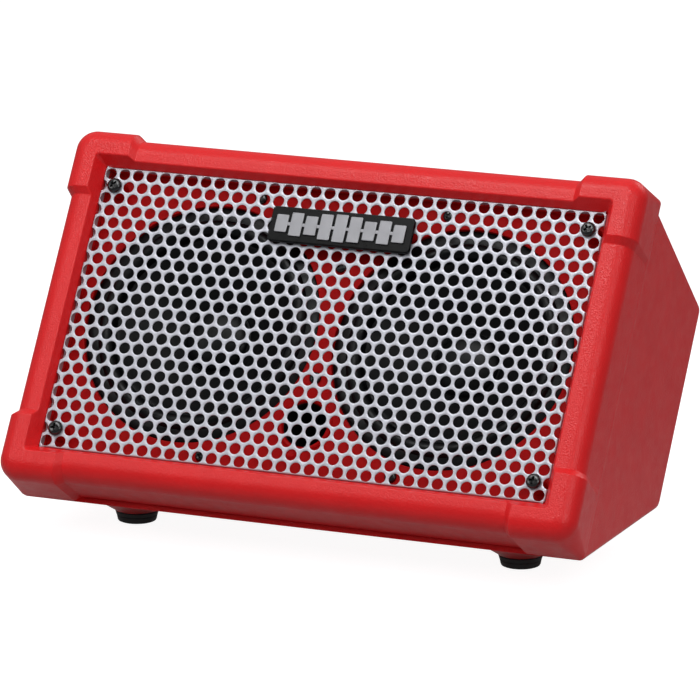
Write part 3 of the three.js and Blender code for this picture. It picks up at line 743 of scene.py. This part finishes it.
for side, x in SPEAKERS.items():
    body = f"cone_{side}"
    cone = turned(bmesh.new(), cone_profile(*local_box(f"speaker_cone_{side}", FRONT)),
                  (x, 0, 0), steps=96)
    piece(f"paper_cone_{side}", cone, FRONT, CONE, body, replaces=[f"speaker_cone_{side}"],
          smooth=50, weighted=False)
    low, high = local_box(f"dust_cap_{side}", FRONT)
    turns = np.linspace(0, math.pi / 2, 11)
    dome = [(22.0 * math.sin(t), low.y + (high.y - low.y - 1) * (1 - math.cos(t))) for t in turns]
    inner = [(max(r - 0.6, 0), y + 0.9) for r, y in dome[::-1]]
    lip = [(22.8, high.y - 0.7), (22.8, high.y - 0.1)]
    cap = turned(bmesh.new(), dome + lip + inner, (x, 0, 0), steps=64)
    piece(f"dust_dome_{side}", cap, FRONT, SURROUND, body,
          [f"dust_cap_{side}"], smooth=50, weighted=False)
    rim = local_box(f"speaker_surround_{side}", FRONT)[1].x - x
    section = [(rim, ROLL_SEAT), (rim, 13.8), (rim - 0.5, 13.3), (74.6, 13.3), (73.8, 13.1),
               *roll(5.6, np.linspace(0.12, 1, 13)), (61.3, 17.4), (61.9, 17.5),
               *roll(4.8, np.linspace(1, 0, 13)), (SURROUND_OUTER, ROLL_SEAT)]
    ring = turned(bmesh.new(), section, (x, 0, 0), steps=96)
    surround = piece(f"rubber_surround_{side}", ring, FRONT, SURROUND,
                     replaces=[f"speaker_surround_{side}"], smooth=50, weighted=False, ride=False)
    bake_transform(surround)

# ---- Rear case ----

CASE_WALL, CASE_EDGE, CASE_BACK, CHIN = 3.5, 4.0, CASE[1].y, 34.5
LEAN = math.atan2(-INTO.z, INTO.y)
SLOPE = math.acos(min(1.0, OUT.dot(X_AXIS.cross(INTO))))
FLAT = -121.4
PANEL_IN_FRONT = FRONT.inverted() @ PANEL
CASE_TOP = 113.4
CASE_HALF = 196.0


def fillet(before, corner, after, steps):
    """A rounded corner of a side outline as points on its arc."""
    y, z, radius = corner
    at = Vector((y, z))
    if radius == 0:
        return [(y, z)]
    one = (Vector(before[:2]) - at).normalized()
    two = (Vector(after[:2]) - at).normalized()
    half = math.acos(one.dot(two)) / 2
    centre = at + (one + two).normalized() * radius / math.sin(half)
    start = at + one * radius / math.tan(half) - centre
    end = at + two * radius / math.tan(half) - centre
    sweep = math.atan2(start.x * end.y - start.y * end.x, start.dot(end))
    points = []
    for k in range(steps + 1):
        turn = sweep * k / steps
        points.append((centre.x + start.x * math.cos(turn) - start.y * math.sin(turn),
                       centre.y + start.x * math.sin(turn) + start.y * math.cos(turn)))
    return points


def case_outline(inset, front):
    """The case seen from the side as (y, z), from the depth of its front edge to the back."""
    back = CASE_BACK - inset
    drop, lift = inset / math.cos(SLOPE), inset / math.cos(LEAN)

    def top_at(y):
        return CASE_TOP - (y - BAND) * math.tan(SLOPE) - drop

    def bottom_at(y):
        return (FLAT + y * math.sin(LEAN)) / math.cos(LEAN) + lift

    chin = BAR["taper"][1] - BAR["half"][1] + lift
    corners = [
        (front, top_at(front), 0),
        (back, top_at(back), max(6 - inset, 0.5)),
        (back, bottom_at(back), max(8 - inset, 0.5)),
        (CHIN, bottom_at(CHIN), max(2.5 - inset, 0.0)),
        (front, max(chin, bottom_at(front)), 0),
    ]
    points = []
    for i, corner in enumerate(corners):
        points += fillet(corners[i - 1], corner, corners[(i + 1) % len(corners)], 8)
    return points


def case_solid(inset, front):
    """The case without its collar, with rounded side edges, smaller by the inset."""
    edge = max(CASE_EDGE - inset, 0.5)
    half = CASE_HALF - inset
    stations = []
    for i in range(7):
        turn = math.pi / 2 * i / 6
        stations.append((half - edge + edge * math.cos(turn), edge * (1 - math.sin(turn))))
    ordered = stations + [(-x, extra) for x, extra in reversed(stations)]
    loops = [[(x, y, z) for y, z in case_outline(inset + extra, front)] for x, extra in ordered]
    return loft(bmesh.new(), loops)


def collar_section(shape):
    """The part of the band that belongs to the rear case, behind the joint."""
    near = SEAM + 0.12
    return soften([
        (band_row(shape, 0, near), 0.15),
        (band_row(shape, 0, BAND), 2.4),
        (band_row(shape, WALL + 5, BAND), 0),
        (band_row(shape, WALL, BAND - 3), 0),
        (band_row(shape, WALL, near), 0),
    ])


PEDESTAL_TOP, FRONT_BASE, REAR_BASE = 15.5, 36.0, 27.0
UPRIGHT = Matrix.Rotation(LEAN, 4, "X")
FEET = {k: middle(f"foot_{k}", FLOOR) for k in range(1, 5)}
FOOT_TOP = local_box("foot_1", FLOOR)[1].z
ORIGIN = FLOOR.inverted() @ FRONT.translation


def pedestal(at, base):
    """A shallow cone with a rounded foot plate, from the flat underside down to its foot."""
    low = FOOT_TOP + GAP - ORIGIN.z
    rim = low + 0.5
    profile = [(0, low), (PEDESTAL_TOP - 0.5, low), (PEDESTAL_TOP, rim)]
    profile += [(PEDESTAL_TOP + (base - PEDESTAL_TOP) * t, rim + (FLAT - rim) * t)
                for t in (0.3, 0.6, 0.85)]
    profile += [(base, FLAT - 0.1), (base + 0.6, FLAT + 0.6), (base, FLAT + 1.7), (0, FLAT + 1.7)]
    mesh = turned(bmesh.new(), profile, (at.x, at.y - ORIGIN.y, 0), axis="z")
    mesh.transform(UPRIGHT)
    return mesh


def opening_cutter(hx, hy, radius, deep, surface_at, flare, axis="y"):
    """A rounded opening, a little wider at the surface."""
    levels = [(deep, 0.0), (surface_at - flare, 0.0), (surface_at - flare * 0.4, flare * 0.3),
              (surface_at, flare), (surface_at + 3, flare + 3)]
    loops = []
    for along, grow in levels:
        outline = rounded(hx + grow, hy + grow, radius + grow, 5)
        if axis == "y":
            loops.append([(x, along, z) for x, z in outline])
        else:
            loops.append([(x, y, along) for x, y in outline])
    return loft(bmesh.new(), loops)


DOOR = local_box("battery_door", FRONT)
JACKS = local_box("jack_plate", FRONT)
SHEET_BOX = local_box("control_panel", PANEL)
GRIP_HALF, GRIP_Z, GRIP_DEPTH, GRIP_WALL = (62.0, 12.0), 69.0, 22.0, 2.5
PANEL_RECESS, SCREW_RECESS = 1.5, 2.4
BACK_SCREWS = [(sx * 184, z) for sx in (-1, 1) for z in (58, -33)] + [(-90, 58), (90, 58), (-78, -33)]


def back_opening(box, flare):
    """Cuts the opening of a plate that sits in the back."""
    at, half = split(box)
    cutter = opening_cutter(half.x + GAP, half.z + GAP, 3.0, CASE_BACK - 6, CASE_BACK, flare)
    return moved(cutter, at.x, 0, at.z)


def rear_case():
    shell = boolean(case_solid(0, SEAM + GAP), [band(collar_section)], "UNION")
    shell = boolean(shell, [pedestal(at, FRONT_BASE if k < 3 else REAR_BASE) for k, at in FEET.items()],
                    "UNION")
    shell = boolean(shell, [case_solid(CASE_WALL, SEAM - 1)])
    hx, hz = GRIP_HALF
    cup = block(bmesh.new(), (0, CASE_BACK - (GRIP_DEPTH + GRIP_WALL + 1) / 2, GRIP_Z),
                (hx + GRIP_WALL, hz + GRIP_WALL, (GRIP_DEPTH + GRIP_WALL - 1) / 2), 0.4, "y", corner=6)
    shell = boolean(shell, [cup], "UNION")
    grip = opening_cutter(hx, hz, 5, CASE_BACK - GRIP_DEPTH, CASE_BACK, 1.4)
    slope = opening_cutter(SHEET_BOX[1].x + GAP, SHEET_BOX[1].y + GAP, 3.3, -5.0, PANEL_RECESS, 0.6, "z")
    slope.transform(PANEL_IN_FRONT)
    cuts = [moved(grip, 0, 0, GRIP_Z), back_opening(DOOR, 0.4), back_opening(JACKS, 0.5), slope]
    floor_at = CASE_BACK - SCREW_RECESS
    profile = [(0, floor_at), (4.6, floor_at), (4.6, CASE_BACK - 0.4), (5.1, CASE_BACK),
               (5.1, CASE_BACK + 2), (0, CASE_BACK + 2)]
    cuts += [turned(bmesh.new(), profile, (x, 0, z), steps=28) for x, z in BACK_SCREWS]
    return boolean(shell, cuts)


def rear_screw(radius, height):
    """A pan head that points out of the back."""
    head = screw_mesh(radius, height)
    head.transform(Matrix.Rotation(math.pi, 4, "Z"))
    return head


piece("rear_shell", rear_case(), FRONT, RED, replaces=["rear_case"], smooth=30)
places = [((x, CASE_BACK - SCREW_RECESS, z), 0.6 * k) for k, (x, z) in enumerate(BACK_SCREWS)]
piece("back_screws", copies(rear_screw(3.8, 1.9), places), FRONT, SCREW)

# ---- Battery door ----

low, high = DOOR
at, half = split(DOOR)
leaf = moved(slab(rounded(half.x, half.z, 2.7, 5), [], low.y, high.y, 0.5), at.x, 0, at.z)
dip = turned(bmesh.new(), [(0, -3), (7.5, -3), (9.5, 3), (0, 3)], steps=32)
leaf = boolean(leaf, [moved(dip, at.x, high.y + 1.4, high.z - 1.0)])
ribs = bmesh.new()
for k in range(7):
    block(ribs, (at.x, high.y, low.z + 8 + 5.0 * k), (half.x - 12, 0.9, 0.55), 0.4, "y", corner=0.8)
piece("battery_cover", merged(leaf, ribs), FRONT, RED, "battery_door", replaces=["battery_door"])

# ---- Rear sockets ----

low, high = JACKS
at, half = split(JACKS)
face = high.y
SOCKETS = {name: middle(name, FRONT) for name in ("phones_jack", "footswitch_jack", "power_jack")}
BORES = {"phones_jack": 5.1, "footswitch_jack": 5.1, "power_jack": 6.1}
holes = [circle(BORES[name], p.x - at.x, p.z - at.z, 24) for name, p in SOCKETS.items()]
sheet = moved(slab(rounded(half.x, half.z, 2.7, 5), holes, low.y, face, 0.35), at.x, 0, at.z)
piece("jack_panel", sheet, FRONT, PANEL_BLACK, replaces=["jack_plate"])
places = [((at.x + sx * (half.x - 5), face, at.z + sz * (half.z - 5)), 0.4 * sx + sz)
          for sx in (-1, 1) for sz in (-1, 1)]
piece("jack_panel_screws", copies(rear_screw(2.6, 1.3), places), FRONT, SCREW)


def phone_socket(x, z):
    """A washer, a hexagon nut and a threaded sleeve that is closed at its far end."""
    jack = turned(bmesh.new(), [(4.75, face + 0.05), (7.6, face + 0.05), (7.6, face + 0.5),
                                (7.2, face + 0.8), (4.75, face + 0.8)], (x, 0, z), steps=40)
    nut = [(6.5, 0.8), (6.7, 1.1), (6.7, 2.4), (6.3, 2.8), (4.6, 2.8), (4.6, 0.8)]
    loft(jack, [[(a, face + out, b) for a, b in circle(radius, x, z, 6, 0.3)] for radius, out in nut],
         ring=True)
    sleeve = [(3.2, face - 20), (3.2, face + 3.0), (3.5, face + 3.4), (4.2, face + 3.4)]
    for k in range(4):
        sleeve += [(4.7, face + 3.1 - 0.8 * k), (4.3, face + 2.7 - 0.8 * k)]
    sleeve += [(4.7, face - 2.4), (9, face - 2.4), (9, face - 22), (0.01, face - 22), (0.01, face - 20)]
    return turned(jack, sleeve, (x, 0, z), steps=32)


for name in ("phones_jack", "footswitch_jack"):
    piece(f"{name}_socket", phone_socket(SOCKETS[name].x, SOCKETS[name].z), FRONT, SOCKET,
          replaces=[name], smooth=40)

at = Vector((SOCKETS["power_jack"].x, 0, SOCKETS["power_jack"].z))
inlet = turned(bmesh.new(), [
    (3.0, face - 12), (3.0, face + 0.3), (3.4, face + 0.8), (5.0, face + 0.9), (5.7, face + 0.4),
    (5.7, face - 2.4), (8, face - 2.4), (8, face - 14), (0.01, face - 14), (0.01, face - 12)],
    at, steps=40)
turned(inlet, [(0, face - 12), (1.05, face - 12), (1.05, face - 3.2), (0.7, face - 2.6), (0, face - 2.4)],
       at, steps=20)
piece("power_inlet", inlet, FRONT, BLACK, replaces=["power_jack"])

# ---- Control panel ----

low, high = SHEET_BOX
KNOBS = {k: middle(f"knob_{k}", PANEL) for k in range(1, 9)}
BUTTONS = {k: middle(f"push_button_{k}", PANEL) for k in range(1, 4)}
COMBOS = {name: middle(name, PANEL) for name in ("microphone_jack", "guitar_jack")}
LED = middle("power_lamp", PANEL)
ROCKER = middle("power_switch", PANEL)
holes = [circle(4.0, p.x, p.y, 24) for p in KNOBS.values()]
holes += [circle(12.4, p.x, p.y, 40) for p in COMBOS.values()]
holes += [[(p.x + a, p.y + b) for a, b in rounded(5.4, 3.4, 0.8, 3)] for p in BUTTONS.values()]
holes.append([(ROCKER.x + a, LED.y + b) for a, b in rounded(9.1, 4.9, 0.8, 3)])
holes.append(circle(2.0, LED.x, LED.y, 20))
piece("control_plate", slab(rounded(high.x, high.y, 3.0, 5), holes, low.z, high.z, 0.3, "z"),
      PANEL, PANEL_BLACK, replaces=["control_panel"])


def mark(mesh, x, y, half_long, half_wide=0.16, angle=0.0):
    """A printed stroke on the panel."""
    part = block(bmesh.new(), (0, 0, 0.03), (half_long, half_wide, 0.05), 0.02,
                 corner=half_wide * 0.9, steps=2)
    part.transform(Matrix.Translation((x, y, 0)) @ Matrix.Rotation(angle, 4, "Z"))
    add_data(mesh, as_data(part))


def numeral(mesh, text, x, y, size):
    """A printed dial number."""
    curve = bpy.data.curves.new("numeral", "FONT")
    curve.body = text
    curve.size = size
    curve.align_x = "CENTER"
    curve.align_y = "CENTER"
    curve.extrude = 0.04
    data = from_curve(curve)
    data.transform(Matrix.Translation((x, y, 0.04)) @ Matrix.Rotation(math.pi, 4, "Z"))
    add_data(mesh, data)


def around(at, radius, turn):
    """The point at a distance and an angle from a centre on the panel."""
    return at.x + radius * math.cos(turn), at.y + radius * math.sin(turn)


DIAL_RADIUS, NUMERAL_RADIUS, SOCKET_RING = 10.6, 13.6, 16.2
legend = bmesh.new()
for k, at in KNOBS.items():
    for step in range(11):
        turn = math.radians(60 - 30 * step)
        mark(legend, *around(at, DIAL_RADIUS, turn), 0.9 if step % 5 else 1.2, angle=turn)
        if step % 5 == 0:
            numeral(legend, str(step), *around(at, NUMERAL_RADIUS, turn), 3.0)
for k in (3, 6):
    mark(legend, (KNOBS[k].x + KNOBS[k + 1].x) / 2, KNOBS[1].y, 15.5, 0.14, math.pi / 2)
for at in BUTTONS.values():
    mark(legend, at.x, at.y + 6.2, 4.0)
for at in COMBOS.values():
    for start in (0.25, 1.25):
        for step in range(9):
            turn = math.pi * (start + step / 16)
            mark(legend, *around(at, SOCKET_RING, turn), 0.7, angle=turn + math.pi / 2)
for y in (high.y - 5, low.y + 4.5):
    mark(legend, 0, y, 150)
piece("panel_legend", legend, PANEL, PRINT, weighted=False)

# ---- Knobs, buttons, switch, lamp ----

KNOB_BASE = 0.8
KNOB_TOP = KNOB_BASE + 13.0


def knob_mesh(at, bottom):
    """A skirted knob with a fluted grip, and its shaft. Rows of radius, height and flute depth."""
    base, top = KNOB_BASE, KNOB_TOP
    rows = [(3.0, bottom, 0.0), (3.0, base, 0.0), (7.5, base, 0.0), (7.6, base + 0.2, 0.0),
            (7.6, base + 1.6, 0.0), (7.3, base + 2.1, 0.0), (6.6, base + 2.5, 0.3),
            (6.3, base + 3.2, 1.0), (5.9, top - 1.6, 1.0), (5.6, top - 0.7, 0.7),
            (5.0, top - 0.15, 0.2), (4.4, top, 0.0), (3.6, top - 0.35, 0.0)]
    turns = [2 * math.pi * j / 96 for j in range(96)]
    flutes = [0.36 * (0.5 - 0.5 * math.cos(16 * turn)) ** 1.5 for turn in turns]
    return loft(bmesh.new(), [[(*around(at, radius - flute * depth, turn), z)
                               for turn, flute in zip(turns, flutes)] for radius, z, depth in rows])


for k, at in KNOBS.items():
    mesh = knob_mesh(at, local_box(f"knob_{k}", PANEL)[0].z)
    piece(f"knob_cap_{k}", mesh, PANEL, KNOB, f"knob_{k}", replaces=[f"knob_{k}"], smooth=40)
    line = bmesh.new()
    block(line, (at.x, at.y - 3.3, KNOB_TOP - 0.05), (0.42, 2.4, 0.35), 0.1, corner=0.35, steps=2)
    block(line, (at.x, at.y - 5.95, KNOB_TOP - 3.0), (0.42, 0.3, 2.6), 0.1, corner=0.2, steps=2)
    piece(f"knob_pointer_{k}", line, PANEL, PRINT, f"knob_{k}")

for k, at in BUTTONS.items():
    low, high = local_box(f"push_button_{k}", PANEL)
    cap = bmesh.new()
    block(cap, (at.x, at.y, (low.z + 1.2 + high.z) / 2), (5.0, 3.0, (high.z - low.z - 1.2) / 2),
          0.5, corner=0.8)
    block(cap, (at.x, at.y, low.z + 0.6), (6.4, 4.2, 0.6), 0.2, corner=0.8)
    block(cap, (at.x, at.y, high.z + 0.02), (3.6, 1.5, 0.16), 0.12, corner=0.6)
    piece(f"button_cap_{k}", cap, PANEL, KNOB, f"push_button_{k}",
          [f"push_button_{k}"])

# The rocker and its signs are drawn level about the pivot, then tipped to the off position.
pivot = PANEL.inverted() @ Vector(JOINTS["power_switch_rock"]["pos_m"])
tipped = Matrix.Translation((ROCKER.x, pivot.y, pivot.z)) @ Matrix.Rotation(math.radians(-8), 4, "Y")
outline = [(-8.0, -3.0), (8.0, -3.0), (8.0, 3.4), (7.7, 4.0)]
outline += [(8 * t, 2.6 + 1.4 * t * t) for t in (0.8, 0.6, 0.4, 0.2, 0, -0.2, -0.4, -0.6, -0.8)]
outline += [(-7.7, 4.0), (-8.0, 3.4)]
paddle = loft(bmesh.new(), [[(x * k, y, z * k) for x, z in outline]
                            for y, k in ((-4.5, 0.94), (-4.2, 1.0), (4.2, 1.0), (4.5, 0.94))])
piece("power_rocker", paddle, PANEL @ tipped, KNOB, "power_switch", ["power_switch"])

signs = block(bmesh.new(), (-5.2, 0, 3.3), (0.25, 1.5, 0.12), 0.05, corner=0.2, steps=2)
turned(signs, [(1.1, 3.2), (1.5, 3.2), (1.5, 3.38), (1.1, 3.38)], (5.2, 0, 0), axis="z", steps=24)
piece("rocker_signs", signs, PANEL @ tipped, PRINT, "power_switch", weighted=False)

section = ((0.0, -0.2), (0.0, 0.5), (0.4, 0.8), (1.2, 0.8), (1.6, 0.4), (1.6, -0.2))
loops = [[(ROCKER.x + x, LED.y + y, z) for x, y in rounded(8.95 + grow, 4.75 + grow, 0.8 + grow, 4)]
         for grow, z in section]
piece("rocker_frame", loft(bmesh.new(), loops, ring=True), PANEL, BLACK)

low, high = local_box("power_lamp", PANEL)
lens = [(0, low.z), (1.6, low.z)]
lens += [(1.6 * math.cos(t), high.z - 0.9 + 0.9 * math.sin(t)) for t in np.linspace(0, math.pi / 2, 7)]
lamp = turned(bmesh.new(), lens, (LED.x, LED.y, 0), axis="z", steps=28)
piece("lamp_lens", lamp, PANEL, LAMP, replaces=["power_lamp"])

CONTACTS = [around(Vector((0, 0)), 6.3, math.pi / 2 + turn) for turn in (0, 2.0, -2.0)]
for name, at in COMBOS.items():
    low, high = local_box(name, PANEL)
    section = [(9.4, -1.6), (9.4, high.z - 0.5), (9.9, high.z), (12.9, high.z), (14.0, high.z - 0.7),
               (14.0, GAP), (12.0, GAP), (12.0, low.z), (0.01, low.z), (0.01, -1.6)]
    shell = turned(bmesh.new(), section, (at.x, at.y, 0), axis="z", steps=64)
    core = slab(circle(9.2), [circle(3.3, steps=32)] + [circle(1.25, x, y, 16) for x, y in CONTACTS],
                -1.0, 1.0, 0.25, "z")
    piece(f"{name}_body", merged(shell, moved(core, at.x, at.y, 0)), PANEL, BLACK, replaces=[name])
    trim = turned(bmesh.new(), [(3.35, -0.6), (3.35, 1.1), (3.6, 1.4), (4.3, 1.4), (4.5, 1.1),
                                (4.5, -0.6)], (at.x, at.y, 0), axis="z", steps=40)
    block(trim, (at.x, at.y - 8.0, 1.5), (2.4, 1.1, 0.7), 0.3, corner=0.5)
    piece(f"{name}_trim", trim, PANEL, SOCKET)

# ---- Feet ----

for k, at in FEET.items():
    low, high = local_box(f"foot_{k}", FLOOR)
    r, top = (high.x - low.x) / 2, high.z
    section = [(0, 2.5), (4.2, 2.5), (4.6, 2.1), (4.6, 0.5), (5.2, 0.0), (r - 2.6, 0.0),
               (r - 1.9, 0.3), (r - 1.5, 1.0), (r - 0.9, 3.8), (r - 1.1, 4.1), (r - 0.7, 4.4),
               (r, top - 0.8), (r - 0.3, top - 0.2), (r - 0.8, top), (0, top)]
    foot = turned(bmesh.new(), section, (at.x, at.y, 0), axis="z", steps=56)
    piece(f"rubber_foot_{k}", foot, FLOOR, RUBBER, replaces=[f"foot_{k}"])

# ---- Finishes of the pieces kept from the CAD ----

KEPT = {
    "speaker_basket": BASKET, "speaker_magnet": FERRITE, "amplifier_board": CIRCUIT,
    "control_board": CIRCUIT, "battery_tray": BLACK, "battery_cells": CELL,
    "potentiometer": BASKET,
}
for name, node in NODES.items():
    for start, look in KEPT.items():
        if name.startswith(start):
            node.data.materials.clear()
            node.data.materials.append(look)

# ---- Floor, light and camera ----

FLOOR_HALF = 6.0
WHITE = (1.0, 1.0, 1.0, 1.0)
corners = ((-1, -1), (1, -1), (1, 1), (-1, 1))
loops = [[(x * FLOOR_HALF, y * FLOOR_HALF, z) for x, y in corners] for z in (0.0, -0.02)]
floor = placed("floor", as_data(loft(bmesh.new(), loops), "floor"))
PALE = surface("pale_floor", (0.60, 0.60, 0.61), 0.7, grain=2.0, depth=0.01, cloud=0.01, level=0.2)
floor.data.materials.append(PALE)

# The floor glows white to the camera, and shines a little into what stands close to it.
tree = PALE.node_tree
path = add_node(tree, "LightPath").outputs
where = add_node(tree, "NewGeometry").outputs["Position"]
away = add_node(tree, "VectorMath", {0: where}, operation="LENGTH").outputs["Value"]
sheen = remap(tree, away, (0.22, 0.42), (0.22, 0.0))
sheen = add_node(tree, "Math", {0: path["Is Glossy Ray"], 1: sheen}, operation="MULTIPLY").outputs[0]
glow = add_node(tree, "Math", {0: path["Is Camera Ray"], 1: 0.93, 2: sheen},
                operation="MULTIPLY_ADD").outputs[0]
shader = tree.nodes["Principled BSDF"]
shader.inputs["Emission Color"].default_value = WHITE
tree.links.new(glow, shader.inputs["Emission Strength"])

# The studio is plain white to the camera and a grey dome, brighter overhead, to everything else.
world = bpy.data.worlds.new("studio")
bpy.context.scene.world = world
world.use_nodes = True
tree = world.node_tree
towards = add_node(tree, "TexCoord").outputs["Generated"]
height = add_node(tree, "SeparateXYZ", {0: towards}).outputs["Z"]
sky = remap(tree, height, (0.0, 0.9), (0.13, 0.55))
seen = add_node(tree, "LightPath").outputs["Is Camera Ray"]
plain = add_node(tree, "Background", {"Color": WHITE, "Strength": 1.0})
dome = add_node(tree, "Background", {"Color": WHITE, "Strength": sky})
either = add_node(tree, "MixShader", {0: seen, 1: dome.outputs[0], 2: plain.outputs[0]})
tree.links.new(either.outputs[0], tree.nodes["World Output"].inputs["Surface"])


def area_light(name, at, target, width, height, watts):
    lamp = bpy.data.lights.new(name, "AREA")
    lamp.shape = "RECTANGLE"
    lamp.size, lamp.size_y = width, height
    lamp.energy = watts
    obj = placed(name, lamp)
    obj.location = at
    obj.rotation_euler = (Vector(target) - Vector(at)).to_track_quat("-Z", "Y").to_euler()


area_light("overhead", (-0.2, -0.9, 1.9), (0, 0, 0.1), 1.6, 0.6, 17)
area_light("front_fill", (-1.7, -1.7, 1.5), (0, 0, 0.12), 0.8, 0.8, 6.5)
area_light("rear_fill", (1.0, 2.3, 1.7), (0, 0, 0.12), 1.4, 1.2, 12)
area_light("right_fill", (1.9, -1.5, 1.5), (0, 0, 0.12), 0.8, 0.8, 10)

AZIMUTH, ELEVATION, LENS = math.radians(23.28), math.radians(13.91), 291.3
CAMERA_OFFSET = (0.0194, -0.0125, 3.61)  # to the right, up and back from the middle of the grille
camera = placed("camera", bpy.data.cameras.new("camera"))
camera.data.lens = LENS
camera.data.sensor_width = 36.0
camera.data.clip_end = 50
turn = Matrix.Rotation(AZIMUTH, 4, "Z") @ Matrix.Rotation(math.pi / 2 - ELEVATION, 4, "X")
camera.matrix_world = (Matrix.Translation(FRONT.translation) @ turn
                       @ Matrix.Translation(CAMERA_OFFSET))
bpy.context.scene.camera = camera
bpy.context.scene.view_settings.view_transform = "Standard"
